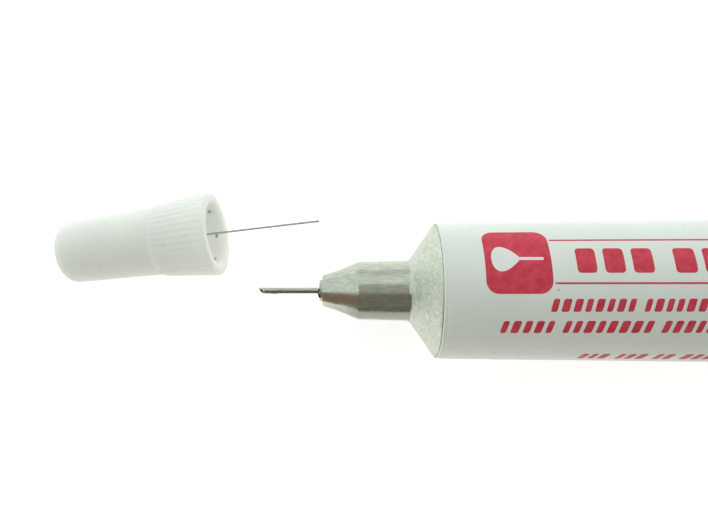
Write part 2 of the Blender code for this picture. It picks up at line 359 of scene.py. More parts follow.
def wall_stations():
    """Places along the wall, closest at the rim and at the tail."""
    return [*np.linspace(0.6, 2, 5), *np.linspace(3, 60, 70), *np.linspace(60.6, 75.35, 42)]


def make_tube_skin(frame, finish):
    """The enamelled wall, whose rolled edge runs a little over the rim onto the shoulder."""
    along = np.linspace(-math.pi * TUBE_RADIUS, math.pi * TUBE_RADIUS, WALL_SIDES, endpoint=False)
    edge = enamel_edge(along)
    rings = []
    for x, radius in RIM_BEAD:
        ring = round_section(x, radius, along)
        ring[:, 0] -= edge * (1 if x < -0.08 else 0)
        rings.append(ring)
    rings += [wall_points(x, along) for x in wall_stations()]
    rings += [wall_points(x, along, WALL) for x in reversed(wall_stations()[4:])]
    rings.append(round_section(0.2, 7.5, along))
    return piece("tube_skin", rings, frame, finish, closed=True, sharp=50)


def round_section(x, radius, along):
    """A round section of the wall at x, at the same arc lengths as wall_points takes."""
    turn = along / TUBE_RADIUS
    return np.column_stack([np.full(len(turn), x), -radius * np.sin(turn), radius * np.cos(turn)])


def enamel_edge(along):
    """How unevenly the enamel ends on the shoulder."""
    return np.array([0.05 * noise.noise(Vector((s * 1.7, 3.1, 0))) for s in along])


def make_tail_fold(frame, finish):
    """The end of the wall, folded over twice and pressed, with the press's ridges across it."""
    layer = (FOLD_ABOVE + FOLD_BELOW) / 3
    right = FOLD_END - layer
    outline = [
        *line((74.9, -0.33), (FOLD_START, -FOLD_BELOW), 2),
        *line((FOLD_START, -FOLD_BELOW), (right, -FOLD_BELOW), 5),
        *arc((right, -FOLD_BELOW + layer), layer, -90, 80, 9),
        (right - 0.16, FOLD_BELOW + 0.07),
        (right - 0.15, FOLD_ABOVE - 0.10),
        (right - 0.24, FOLD_ABOVE - 0.02),
        *line((right - 0.32, FOLD_ABOVE), (76.0, FOLD_ABOVE), 5),
        *arc((75.95, FOLD_ABOVE - layer), layer, 90, 255, 9),
        (75.72, 0.10),
        (74.9, 0.37),
    ]
    outline = np.array(outline)
    width = half_width(FLAT_HALF_THICKNESS) - 0.06
    rings = []
    for y in np.linspace(-width, width, 260):
        ring = np.column_stack([outline[:, 0], np.full(len(outline), y), outline[:, 1]])
        pressed = (ring[:, 0] > 76.2) * (ring[:, 0] < right - 0.5)
        ring[:, 2] -= np.sign(ring[:, 2]) * press_ridge(y) * pressed
        ring[:, 0] -= 0.05 * (1 + noise.noise(Vector((y * 0.35, 0.7, 0)))) * (ring[:, 0] > 77)
        corner = 1 - smoothstep(abs(y), width - 0.12, width) * 0.10
        middle = np.array([77.5, y, 0.25])
        rings.append(middle + (ring - middle) * [corner, 1, corner])
    return piece("tail_fold", rings, frame, finish, sharp=40)


def press_ridge(y):
    """Depth of the press's marks across the strip."""
    return PRESS_DEPTH * (0.5 + 0.5 * math.cos(2 * math.pi * y / PRESS_PITCH)) ** 2


# ---------------------------------------------------------------- print

def patch(mark, lift):
    """A thin closed sheet of ink that follows the wall.

    A mark is a list of columns. Each holds its x at its two ends, then the ends' arc lengths.
    """
    rows = max(3, int(max(high - low for _, _, low, high in mark) / 0.35) + 2)
    above, below = [], []
    for x_low, x_high, low, high in mark:
        along = np.linspace(low, high, rows)
        lean = np.linspace(x_low, x_high, rows)
        above.append(slanted(lean, along, -lift))
        below.append(slanted(lean, along, INK_THICKNESS - lift))
    above, below = np.array(above), np.array(below)
    columns = len(above)
    points = np.vstack([above.reshape(-1, 3), below.reshape(-1, 3)])
    faces = []
    half = columns * rows
    for c in range(columns - 1):
        for r in range(rows - 1):
            a = c * rows + r
            faces.append([a, a + rows, a + rows + 1, a + 1])
            faces.append([half + a, half + a + 1, half + a + rows + 1, half + a + rows])
    border = [*range(rows - 1), *range(rows - 1, half - 1, rows), *range(half - 1, half - rows, -1)]
    border += list(range(half - rows, 0, -rows))
    for a, b in zip(border, border[1:] + border[:1]):
        faces.append([a, b, half + b, half + a])
    return points, faces


def slanted(lean, along, inset):
    """Wall points at places that lean along the tube, one for each pair."""
    return np.array([wall_points(x, [s], inset)[0] for x, s in zip(lean, along)])


def rounded_bar(x, s, length, height, radius, slant=0.0):
    """The columns of a bar with round corners, its middle line at arc length s, starting at x."""
    half = height / 2
    columns = []
    corner_step = 10 if radius > 1 else 30
    bend = [radius * (1 - math.cos(math.radians(a))) for a in range(0, 91, corner_step)]
    steps = max(1, int((length - 2 * radius) / 1.5))
    places = bend + [radius + (length - 2 * radius) * k / steps for k in range(1, steps)]
    places += [length - b for b in reversed(bend)]
    for place in places:
        inner_light_and_shade = min(place, length - place, radius)
        reach = half - radius + math.sqrt(max(0.0, radius**2 - (radius - inner_light_and_shade) ** 2))
        reach = max(reach, 0.02)
        columns.append((x + place + slant * reach, x + place - slant * reach, s - reach, s + reach))
    return columns


def drop(x, s, length, width):
    """The columns of a drop of glue that hangs towards -X from its point."""
    columns = []
    for k in range(25):
        turn = math.pi * k / 24
        place = (1 - math.cos(turn)) / 2
        reach = max(width / 2 * math.sin(turn) * (1 - place) ** 0.55 * 1.35, 0.01)
        columns.append((x + place * length, x + place * length, s - reach, s + reach))
    return columns


def block_row(draw, x, end, s, height, slant, words, width=0.54):
    """A row of plain blocks from x to end, grouped as words are, in place of a line of lettering.

    The width is a block's usual width as a share of its height.
    """
    marks = []
    usual, space = height * width, height * 0.3
    for count in words:
        for _ in range(count):
            own = usual * draw.uniform(0.8, 1.15)
            if x + own > end:
                return marks
            marks.append(rounded_bar(x, s, own, height, height * 0.14, slant))
            x += own + space
        x += height * 0.5
    return marks


def make_print(frame, finish):
    """The generic red print: a tile, two rules, and rows of plain blocks."""
    draw = random.Random(BLOCK_SEED)
    marks = [rounded_bar(4.25, TILE_LINE, 7.15, 7.75, 1.4)]
    marks += [rounded_bar(11.6, s, 59.0, 0.2, 0.08) for s in (-6.27, -1.08)]
    marks += block_row(draw, 14.1, 69.5, -3.65, 2.9, 0.0, (3, 4, 6, 2, 5), 0.72)
    marks += block_row(draw, 11.3, 66.0, 1.28, 1.42, 0.22, (8, 9, 6, 5, 7, 4, 8))
    marks += block_row(draw, 6.1, 66.0, 3.77, 1.5, 0.22, (5, 8, 7, 4, 6, 8, 5, 6))
    marks += block_row(draw, 15.8, 60.0, 8.77, 1.45, 0.3, (3, 3, 2, 3, 6, 5, 4, 7))
    underside = ((12.4, (6, 4, 8, 3, 7, 5)), (14.8, (3, 7, 5, 9, 4)), (17.2, (8, 2, 6, 5, 6)))
    for s, words in underside:
        marks += block_row(draw, 8.0, 58.0, s, 1.0, 0.0, words)
    return joined_patches("red_print", marks, INK_LIFT, frame, finish)


def make_print_light(frame, finish):
    """The light drop and needle line on the red tile."""
    marks = [drop(4.95, TILE_LINE, 3.2, 2.9), rounded_bar(8.0, TILE_LINE, 2.6, 0.34, 0.12)]
    return joined_patches("tile_drop", marks, TILE_LIGHT_LIFT, frame, finish)


def joined_patches(name, marks, lift, frame, finish):
    """One object that holds the sheets of all these marks."""
    points, faces = [], []
    for mark in marks:
        own_points, own_faces = patch(mark, lift)
        faces += [[len(points) + corner for corner in face] for face in own_faces]
        points += own_points.tolist()
    return body(name, points, faces, frame, finish, sharp=60)


# ---------------------------------------------------------------- nozzle

def make_nozzle(frame, cone, neck):
    """The bare shoulder cone, neck and nose in one, with the faint steps that the tool left."""
    outside = [
        (0.0, 7.74),
        (-0.11, 7.70),
        (-0.18, 7.69),
        (-0.23, 7.76),
        *line((-0.26, 7.745), (CONE_STEP, 5.86), 6),
        *line((CONE_STEP, 5.845), CONE_END, 6),
        *fillet(CONE_END, (NECK_START, NECK_ROOT_RADIUS), (-3.5, NECK_ROOT_RADIUS), 9),
        *line((-3.5, NECK_ROOT_RADIUS - 0.005), (NECK_END + 0.1, NECK_END_RADIUS), 16),
        *fillet((NECK_END + 0.1, NECK_END_RADIUS), (NECK_END, NECK_END_RADIUS), (-9.2, 3.36), 3),
        *line((-9.2, 3.36), NOSE_KNEE, 8),
        *line(NOSE_KNEE, (NOSE_END + 0.05, NOSE_END_RADIUS), 6),
        *arc((NOSE_END + 0.06, NOSE_END_RADIUS - 0.06), 0.06, 90, 180, 3),
    ]
    inside = [
        (NOSE_END, HUB_RADIUS + 0.02),
        (-10.43, HUB_RADIUS + 0.02),
        (-10.43, NECK_BORE_RADIUS),
        (-3.4, NECK_BORE_RADIUS),
        (-0.1, 7.0),
    ]
    rings = [circle(x, radius, NOZZLE_SIDES) for x, radius in outside + inside]
    nozzle = piece("nozzle", rings, frame, cone, closed=True, sharp=35)
    another_finish(nozzle, neck, lambda corners: (frame.inverted() @ corners[0].co).x < NECK_START)
    return nozzle


def another_finish(made, finish, chosen):
    """Add a finish and give it to the faces whose corners, as mesh vertices, are chosen."""
    made.data.materials.append(finish)
    for face in made.data.polygons:
        if chosen([made.data.vertices[corner] for corner in face.vertices]):
            face.material_index = len(made.data.materials) - 1


def fillet(start, corner, end, steps):
    """A quadratic curve that rounds a corner."""
    start, corner, end = (np.array(p, float) for p in (start, corner, end))
    shares = [k / steps for k in range(steps)]
    return [tuple((1 - t) ** 2 * start + 2 * t * (1 - t) * corner + t * t * end) for t in shares]


def make_hub(frame, finish):
    """The bush that holds the needle, with its front out of the nose and its flange inside."""
    bore = NEEDLE_RADIUS + 0.01
    profile = [
        (HUB_FRONT + 0.05, bore),
        (HUB_FRONT + 0.01, bore + 0.05),
        (HUB_FRONT, 0.62),
        (HUB_FRONT + 0.03, 0.68),
        (HUB_FRONT + 0.01, 0.75),
        *arc((HUB_FRONT + 0.12, HUB_RADIUS - 0.12), 0.12, 180, 90, 5),
        (HUB_FLANGE, HUB_RADIUS),
        (HUB_FLANGE, HUB_FLANGE_RADIUS),
        (HUB_BACK, HUB_FLANGE_RADIUS),
        (HUB_BACK, bore),
    ]
    rings = [circle(x, radius, HUB_SIDES) for x, radius in profile]
    return piece("hub_bush", rings, frame, finish, closed=True)


def make_needle(frame, finish, inner_light_and_shade):
    """The needle: a drawn tube, ground on a slant at its tip, its bore finished dark as painted
    shade.
    """
    shaft = [
        circle(x, NEEDLE_RADIUS - 0.002 * (k % 2), NEEDLE_SIDES)
        for k, x in enumerate(np.linspace(NEEDLE_ROUND_START, NEEDLE_BACK, 30))
    ]
    bore = [
        circle(NEEDLE_BACK, NEEDLE_BORE_RADIUS, NEEDLE_SIDES),
        circle(NEEDLE_ROUND_START, NEEDLE_BORE_RADIUS, NEEDLE_SIDES),
        tip_ring(0.02, NEEDLE_BORE_RADIUS),
    ]
    rings = [tip_ring(0.02, NEEDLE_RADIUS - 0.025), tip_ring(0.03, NEEDLE_RADIUS), *shaft, *bore]
    needle = piece("needle_tube", rings, frame, finish, closed=True, sharp=35)
    first_inner = (len(rings) - len(bore)) * NEEDLE_SIDES
    another_finish(needle, inner_light_and_shade, lambda corners: min(c.index for c in corners) >= first_inner)
    return needle


def tip_ring(back, radius):
    """A ring on the tip's ground face, which is foremost towards +Y and down."""
    ring = circle(NEEDLE_TIP + back, radius, NEEDLE_SIDES)
    across, up = TIP_FALLS_BACK
    share = (NEEDLE_RADIUS + ring[:, 1] * across + ring[:, 2] * up) / (2 * NEEDLE_RADIUS)
    ring[:, 0] += TIP_SLANT * share
    return ring


def make_bead(frame, finish):
    """Dried glue round the needle's root, most of it on the needle's -Y side."""
    rings = []
    profile = ((0.0, 0.56, 0.24), (-0.06, 0.56, 0.24), (-0.13, 0.44, 0.2), (-0.2, 0.35, 0.05))
    for x, radius, shift in profile:
        ring = circle(HUB_FRONT + x, radius, 40, (-shift, 0))
        rings.append(uneven(ring, 0.09, 2.2))
    return piece("dried_bead", rings, frame, finish, sharp=60)


def make_residue(name, centre, size, frame, finish):
    """A small lump of dried glue."""
    rings = []
    for angle in np.radians(np.linspace(8, 172, 9)):
        ring = circle(centre[0] - size * 0.7 * math.cos(angle), size * math.sin(angle), 16)
        ring[:, 1:] += centre[1:]
        rings.append(uneven(ring, 0.2, 5.0))
    return piece(name, rings, frame, finish, sharp=60)


def uneven(ring, amount, scale):
    """The ring with its points moved to and from its middle by noise."""
    middle = ring.mean(0)
    shares = [1 + amount * noise.noise(Vector(point) * scale) * 2 for point in ring]
    moved = middle + (ring - middle) * np.array(shares)[:, None]
    moved[:, 0] = ring[:, 0]
    return moved


def make_smear(frame, finish):
    """A thin run of clear glue dried along the needle's -Y side near its tip."""
    rings = []
    for share in np.linspace(0, 1, 15):
        swell = math.sin(math.pi * share) ** 0.6
        centre = (-0.16 - 0.06 * swell, 0.05)
        rings.append(circle(SMEAR_START + SMEAR_LENGTH * share, 0.03 + 0.15 * swell, 24, centre))
    return piece("glue_smear", rings, frame, finish, sharp=60)


# ---------------------------------------------------------------- cap

def skirt_radius(x):
    """The skirt's outer radius, over its flutes, at x."""
    along = (x - SKIRT_START) / (CAP_LENGTH - MOUTH_ROUND - SKIRT_START)
    return SKIRT_RADIUS + (MOUTH_RADIUS - SKIRT_RADIUS) * along


def make_cap(frame, finish, inner_light_and_shade, nub_shade):
    """The moulded cap: a plain tapered body, fluted skirt and round lip, with nubs in the bore."""
    side = math.degrees(math.atan2(CAP_BODY_RADIUS - CAP_END_RADIUS, CAP_BODY_END))
    corner = (CAP_END_ROUND, CAP_END_RADIUS - CAP_END_ROUND)
    lip = (CAP_LENGTH - MOUTH_ROUND, MOUTH_RADIUS - MOUTH_ROUND)
    body_start = arc((corner[0] + 0.02, corner[1]), CAP_END_ROUND, 180, 90 + side, 14)
    outside = [
        (0.05, 0.8),
        (0.02, 1.1),
        *body_start,
        *line((3.0, 3.90), (CAP_BODY_END, CAP_BODY_RADIUS), 14),
        *soft_step((CAP_BODY_END, CAP_BODY_RADIUS), (STEP_END, skirt_radius(STEP_END)), 10),
        *((x, skirt_radius(x)) for x in np.linspace(STEP_END, CAP_LENGTH - MOUTH_ROUND, 46)),
        *arc(lip, MOUTH_ROUND, 80, 0, 8),
    ]
    inner_lip = (CAP_LENGTH - MOUTH_INNER_ROUND, CAP_BORE_RADIUS + MOUTH_INNER_ROUND)
    core_start = (CAP_LENGTH - CAP_CORE_START, CAP_CORE_RADIUS)
    depths = np.linspace(0.8, CAP_BORE_DEPTH, 54)
    inside = [
        *arc(inner_lip, MOUTH_INNER_ROUND, 0, -90, 8),
        *((CAP_LENGTH - depth, bore_radius(depth)) for depth in depths),
        *line((CAP_LENGTH - 6.3, 3.45), core_start, 6),
        *line(core_start, (CAP_CORE_END, CAP_CORE_RADIUS - 0.1), 6),
        (CAP_CORE_END, 0.5),
        (1.3, 0.2),
    ]
    rings = [fluted(circle(x, radius, CAP_SIDES)) for x, radius in outside]
    rings += [nubbed(circle(x, radius, CAP_SIDES)) for x, radius in inside]
    cap = piece("cap_moulding", rings, frame, finish, sharp=40)
    back = frame.inverted()
    # Painted light: the faces in the bore take the lighter copy of the plastic.
    another_finish(cap, inner_light_and_shade, lambda corners: in_bore([back @ corner.co for corner in corners]))
    # Painted shade: the nubs' crests take a dark grey finish.
    another_finish(cap, nub_shade, lambda corners: on_nub([back @ corner.co for corner in corners]))
    return cap


def bore_radius(depth):
    """The bore's radius at this depth inside the mouth."""
    return CAP_BORE_RADIUS - CAP_BORE_TAPER * depth


def in_bore(points):
    """Whether all of a face's corners are on the cap's inside."""
    widest = CAP_BORE_RADIUS + 0.12
    return all(point.x > 1.4 and math.hypot(point.y, point.z) < widest for point in points)


def on_nub(points):
    """Whether all of a face's corners stand well out of the bore's wall, near the nubs."""
    low = bore_radius(NUB_DEPTH) - 0.2 * NUB_HEIGHT
    near = abs(points[0].x - (CAP_LENGTH - NUB_DEPTH)) < 0.5
    return near and all(math.hypot(point.y, point.z) < low for point in points)


def soft_step(start, end, steps):
    """An S-shaped rise from start to just before end."""
    length, height = end[0] - start[0], end[1] - start[1]
    shares = [k / steps for k in range(steps)]
    return [(start[0] + length * t, start[1] + height * float(smoothstep(t, 0, 1))) for t in shares]


def fluted(ring):
    """Sink the flutes' valleys, which run out smoothly at both ends."""
    x = ring[0, 0]
    depth = FLUTE_DEPTH * float(smoothstep(x, FLUTE_START, FLUTE_START + 0.4))
    depth *= 1 - float(smoothstep(x, FLUTE_END - 0.3, FLUTE_END + 0.1))
    turn = np.arctan2(ring[:, 2], ring[:, 1])
    wave = (0.5 + 0.5 * np.cos(turn * FLUTES)) ** 0.7
    radius = np.hypot(ring[:, 1], ring[:, 2])
    ring[:, 1:] *= ((radius - depth * (1 - wave)) / radius)[:, None]
    return ring


def nubbed(ring):
    """Raise six small nubs round the bore, just inside the mouth."""
    x = ring[0, 0] - (CAP_LENGTH - NUB_DEPTH)
    for turn in NUB_TURNS:
        outwards = np.array([math.cos(math.radians(turn)), math.sin(math.radians(turn))])
        away = np.hypot(x, np.linalg.norm(ring[:, 1:] - outwards * CAP_BORE_RADIUS, axis=1))
        ring[:, 1:] -= outwards * (NUB_HEIGHT * (1 - smoothstep(away, 0.12, 0.32)))[:, None]
    return ring


def make_wire(frame, finish):
    """The drawn wire, with the faint bow it has, snipped square at its tip."""
    rings = []
    for x in [WIRE_ROOT, *np.linspace(1.5, WIRE_TIP - 0.06, 40)]:
        share = (x - WIRE_ROOT) / (WIRE_TIP - WIRE_ROOT)
        bow = WIRE_BOW * math.sin(math.pi * share) - x * math.tan(WIRE_LEAN)
        rings.append(circle(x, WIRE_RADIUS, WIRE_SIDES, (bow, 0)))
    end = -WIRE_TIP * math.tan(WIRE_LEAN)
    rings.append(circle(WIRE_TIP - 0.01, WIRE_RADIUS * 0.86, WIRE_SIDES, (end, 0)))
    return piece("wire_drawn", rings, frame, finish, sharp=40)


# ---------------------------------------------------------------- materials

class Finish:
    """A Principled material under construction, whose textures run in object space."""

    def __init__(self, name, colour, roughness, metallic=0.0, **sockets):
        self.material = bpy.data.materials.new(name)
        self.material.use_nodes = True
        self.tree = self.material.node_tree
        self.shader = self.tree.nodes["Principled BSDF"]
        self.set(self.shader, "Base Color", (*colour, 1))
        self.set(self.shader, "Roughness", roughness)
        self.set(self.shader, "Metallic", metallic)
        for socket, value in sockets.items():
            self.set(self.shader, socket.replace("_", " "), value)
        self.place = self.add("ShaderNodeTexCoord").outputs["Object"]

    def add(self, kind, **inputs):
        made = self.tree.nodes.new(kind)
        for socket, value in inputs.items():
            self.set(made, socket, value)
        return made

    def set(self, made, socket, value):
        if isinstance(value, bpy.types.NodeSocket):
            self.tree.links.new(value, made.inputs[socket])
        else:
            made.inputs[socket].default_value = value

    def noise(self, scale, detail=4.0, stretch=(1, 1, 1)):
        """Noise with this many features in a millimetre."""
        size = [scale / MM * part for part in stretch]
        place = self.add("ShaderNodeMapping", Vector=self.place, Scale=size)
        made = self.add("ShaderNodeTexNoise", Vector=place.outputs[0], Scale=1.0, Detail=detail)
        return made.outputs["Fac"]

    def spots(self, scale, size, share):
        """A mask of scattered round specks."""
        place = self.add("ShaderNodeMapping", Vector=self.place, Scale=[scale / MM] * 3)
        cells = self.add("ShaderNodeTexVoronoi", Vector=place.outputs[0], Scale=1.0)
        speck = self.span(cells.outputs["Distance"], size, size * 0.4, 0, 1)
        chance = self.add("ShaderNodeSeparateColor", Color=cells.outputs["Color"]).outputs[0]
        chosen = self.span(chance, share, share - 0.01, 0, 1)
        return self.maths("MULTIPLY", speck, chosen)

    def span(self, value, low, high, to_low, to_high):
        """Map a value from one range to another, clamped."""
        made = self.add("ShaderNodeMapRange", Value=value)
        sockets = ("From Min", "From Max", "To Min", "To Max")
        for socket, number in zip(sockets, (low, high, to_low, to_high)):
            self.set(made, socket, number)
        return made.outputs[0]

    def maths(self, operation, first, second):
        made = self.tree.nodes.new("ShaderNodeMath")
        made.operation = operation
        for index, value in enumerate((first, second)):
            self.set(made, index, value)
        return made.outputs[0]

    def mix(self, share, first, second):
        """Mix two colours by a share."""
        made = self.tree.nodes.new("ShaderNodeMix")
        made.data_type = "RGBA"
        for index, value in ((0, share), (6, first), (7, second)):
            value = (*value, 1) if isinstance(value, tuple) and len(value) == 3 else value
            self.set(made, index, value)
        return made.outputs[2]

    def colour(self, socket):
        self.set(self.shader, "Base Color", socket)

    def rough(self, socket):
        self.set(self.shader, "Roughness", socket)

    def bump(self, height, depth, strength=1.0):
        """Add relief of this depth in millimetres, on top of any that is there."""
        made = self.add("ShaderNodeBump", Height=height, Strength=strength, Distance=depth * MM)
        below = self.shader.inputs["Normal"]
        if below.links:
            self.set(made, "Normal", below.links[0].from_socket)
        self.set(self.shader, "Normal", made.outputs[0])


def enamel_finish():
    made = Finish("white_enamel", (0.80, 0.83, 0.80), 0.3, Specular_IOR_Level=0.22)
    made.set(made.shader, "Coat Weight", 0.12)
    made.set(made.shader, "Coat Roughness", 0.22)
    patches = made.span(made.noise(0.12, 3), 0.35, 0.65, 0, 1)
    base = made.mix(patches, (0.775, 0.825, 0.765), (0.81, 0.85, 0.795))
    specks = made.spots(0.6, 0.09, 0.025)
    made.colour(made.mix(specks, base, (0.40, 0.40, 0.36)))
    made.rough(made.span(made.noise(0.8, 4), 0.3, 0.7, 0.26, 0.38))
    made.bump(made.noise(1.4, 3), 0.006)
    made.bump(made.noise(0.25, 2), 0.02)
    return made.material


def print_finish():
    made = Finish("red_ink", (0.62, 0.035, 0.07), 0.42, Specular_IOR_Level=0.22)
    thin = made.span(made.noise(1.1, 5), 0.35, 0.75, 0, 1)
    made.colour(made.mix(thin, (0.60, 0.042, 0.072), (0.72, 0.08, 0.12)))
    made.rough(made.span(made.noise(2.0, 3), 0.3, 0.7, 0.32, 0.46))
    made.bump(made.noise(3.0, 2), 0.002)
    return made.material


def tile_light_finish():
    made = Finish("tile_light", (0.80, 0.83, 0.80), 0.32)
    made.colour(made.mix(made.noise(0.6, 3), (0.78, 0.81, 0.78), (0.85, 0.87, 0.85)))
    made.bump(made.noise(1.4, 3), 0.004)
    return made.material


def cone_finish():
    """Bare aluminium as it left the press: a dull, finely mottled grey."""
    made = Finish("cone_aluminium", (0.52, 0.55, 0.49), 0.5, 1.0)
    grain = made.noise(2.6, 6)
    grey = made.mix(made.span(grain, 0.35, 0.65, 0, 1), (0.575, 0.62, 0.543), (0.718, 0.774, 0.672))
    stained = made.mix(made.span(made.noise(0.5, 4), 0.5, 0.75, 0, 0.45), grey, (0.64, 0.62, 0.49))
    pits = pitted(made)
    made.colour(made.mix(pits, stained, (0.2, 0.2, 0.17)))
    made.rough(made.span(made.noise(1.8, 5), 0.3, 0.7, 0.42, 0.6))
    made.bump(made.noise(3.2, 6), 0.012)
    made.bump(made.span(pits, 0, 1, 1, 0), 0.012)
    return made.material


def neck_finish(nose):
    """Turned bare aluminium: a clear sheen with fine streaks, and painted shade that darkens its -Y
    side.

    In front of the row frame's x of the nose, a stripe of it has a rusty tint.
    """
    made = Finish("neck_aluminium", (0.50, 0.53, 0.47), 0.22, 1.0)
    streak = made.noise(4.5, 5, (0.18, 1, 1))
    light = made.span(streak, 0.35, 0.65, 0, 1)
    grey = made.mix(light, (0.462, 0.495, 0.413), (0.583, 0.621, 0.522))
    cloud = made.span(made.noise(1.3, 5), 0.45, 0.75, 0, 0.5)
    stained = made.mix(cloud, grey, (0.46, 0.43, 0.34))
    where = made.add("ShaderNodeSeparateXYZ", Vector=made.place).outputs
    waver = made.span(made.noise(1.6, 4), 0.3, 0.7, -0.2 * MM, 0.2 * MM)
    side = made.maths("ADD", where["Y"], waver)
    on_nose = made.span(where["X"], nose, nose - 0.1 * MM, 0, 1)
    rust = made.maths("MULTIPLY", on_nose, made.span(streak, 0.3, 0.55, 0.4, 1))
    for near, far in ((-0.1, -0.6), (-1.6, -1.2)):
        rust = made.maths("MULTIPLY", rust, made.span(side, near * MM, far * MM, 0, 1))
    rusted = made.mix(rust, stained, (0.66, 0.49, 0.385))
    # Painted shade: the -Y side is darkened in place of the dim reflections it gets there.
    shaded_side = made.mix(made.span(side, -1.5 * MM, -2.5 * MM, 0, 0.75), rusted, (0.24, 0.25, 0.215))
    pits = pitted(made)
    made.colour(made.mix(pits, shaded_side, (0.15, 0.15, 0.13)))
    made.rough(made.span(made.noise(1.1, 5), 0.3, 0.7, 0.15, 0.28))
    made.bump(streak, 0.006)
    made.bump(made.noise(5, 5), 0.003)
    made.bump(made.span(pits, 0, 1, 1, 0), 0.01)
    return made.material


def pitted(made):
    """A mask of small uneven pits."""
    ragged = made.span(made.noise(4, 4), 0.4, 0.6, 0, 0.8)
    return made.maths("MULTIPLY", made.spots(1.9, 0.26, 0.12), ragged)


def hub_finish():
    made = Finish("hub_metal", (0.48, 0.50, 0.44), 0.32, 1.0)
    stain_and_shade = made.span(made.noise(1.8, 4), 0.45, 0.7, 0, 0.6)
    made.colour(made.mix(stain_and_shade, (0.54, 0.562, 0.486), (0.26, 0.22, 0.16)))
    made.rough(made.span(made.noise(5, 3), 0.3, 0.7, 0.25, 0.45))
    made.bump(made.noise(7, 3, (4, 0.5, 0.5)), 0.006)
    return made.material


def needle_finish():
    made = Finish("needle_steel", (0.62, 0.61, 0.56), 0.22, 1.0)
    drawn = made.noise(9, 3, (0.08, 1, 1))
    steel = made.mix(made.span(drawn, 0.3, 0.7, 0, 1), (0.432, 0.432, 0.367), (0.605, 0.605, 0.529))
    side = made.add("ShaderNodeSeparateXYZ", Vector=made.place).outputs["Y"]
    side = made.maths("ADD", side, made.span(made.noise(1.5, 4), 0.3, 0.7, -0.06 * MM, 0.06 * MM))
    # Painted shade: the steel darkens towards the needle's -Y side, where it lies in shade.
    stain_and_shade = made.span(side, -0.02 * MM, -0.2 * MM, 0, 0.85)
    made.colour(made.mix(stain_and_shade, steel, (0.16, 0.145, 0.11)))
    made.rough(made.span(drawn, 0.3, 0.7, 0.16, 0.32))
    made.bump(drawn, 0.002)
    return made.material


# Painted shade: the needle's bore gets this dark finish in place of the shade inside it.
def bore_painted_shade_finish():
    made = Finish("needle_bore_painted_shade", (0.06, 0.055, 0.045), 0.6, 0.6)
    made.colour(made.mix(made.noise(8, 3), (0.03, 0.028, 0.022), (0.09, 0.085, 0.07)))
    made.bump(made.noise(9, 3), 0.004)
    return made.material


def wire_finish():
    made = Finish("wire_steel", (0.56, 0.59, 0.57), 0.26, 1.0)
    drawn = made.noise(12, 3, (0.06, 1, 1))
    made.colour(made.mix(made.span(drawn, 0.3, 0.7, 0, 1), (0.44, 0.47, 0.44), (0.60, 0.63, 0.59)))
    made.rough(made.span(drawn, 0.3, 0.7, 0.4, 0.52))
    made.bump(drawn, 0.0015)
    return made.material


def bead_finish():
    made = Finish("dried_bead", (0.03, 0.027, 0.02), 0.55, Specular_IOR_Level=0.25)
    made.colour(made.mix(made.noise(4, 4), (0.008, 0.007, 0.006), (0.05, 0.045, 0.03)))
    made.rough(made.span(made.noise(6, 3), 0.3, 0.7, 0.45, 0.7))
    made.bump(made.noise(5, 4), 0.03)
    return made.material


def smear_finish():
    made = Finish("dried_glue", (0.75, 0.76, 0.68), 0.2, 0.0, Transmission_Weight=0.6, IOR=1.47)
    made.colour(made.mix(made.noise(3, 3), (0.62, 0.62, 0.52), (0.85, 0.86, 0.80)))
    made.bump(made.noise(3, 3), 0.01)
    return made.material


def plastic_finish(name, dark, light):
    """White moulded plastic: slightly translucent, with a satin surface and faint flow marks."""
    made = Finish(name, light, 0.55, 0.0, Subsurface_Weight=1.0, Subsurface_Scale=0.002)
    made.set(made.shader, "Subsurface Radius", (1.0, 1.0, 0.85))
    made.set(made.shader, "Specular IOR Level", 0.12)
    flow = made.noise(0.22, 4, (0.5, 1, 1))
    base = made.mix(made.span(flow, 0.3, 0.7, 0, 1), dark, light)
    grime = made.span(made.noise(0.9, 5), 0.56, 0.78, 0, 0.16)
    made.colour(made.mix(grime, base, (0.62, 0.60, 0.52)))
    made.rough(made.span(made.noise(2.2, 4), 0.3, 0.7, 0.48, 0.62))
    made.bump(made.noise(2.6, 4), 0.004)
    made.bump(flow, 0.02)
    return made.material


def nub_shade_finish():
    """The nubs' crests, painted dark grey as shade that the small bumps don't cast."""
    made = Finish("nub_painted_shade", (0.46, 0.47, 0.4), 0.6, Specular_IOR_Level=0.2)
    made.colour(made.mix(made.noise(3, 3), (0.36, 0.37, 0.31), (0.56, 0.57, 0.49)))
    made.bump(made.noise(6, 3), 0.01)
    return made.material


def plain_inner(name, light, dark, roughness, scale):
    """A simple mottled finish for pieces inside the tube."""
    made = Finish(name, light, roughness)
    made.colour(made.mix(made.noise(scale, 4), dark, light))
    made.bump(made.noise(scale * 2, 3), 0.01)
    return made.material


# ---------------------------------------------------------------- stage

def make_camera():
    data = bpy.data.cameras.new("camera")
    data.sensor_width = SENSOR
    data.lens = FOCAL_PIXELS / IMAGE_WIDTH * SENSOR
    data.clip_start, data.clip_end = 0.002, 20
    camera = bpy.data.objects.new("camera", data)
    camera.location = Vector(CAMERA_PLACE) * MM
    bpy.context.scene.collection.objects.link(camera)
    bpy.context.scene.camera = camera


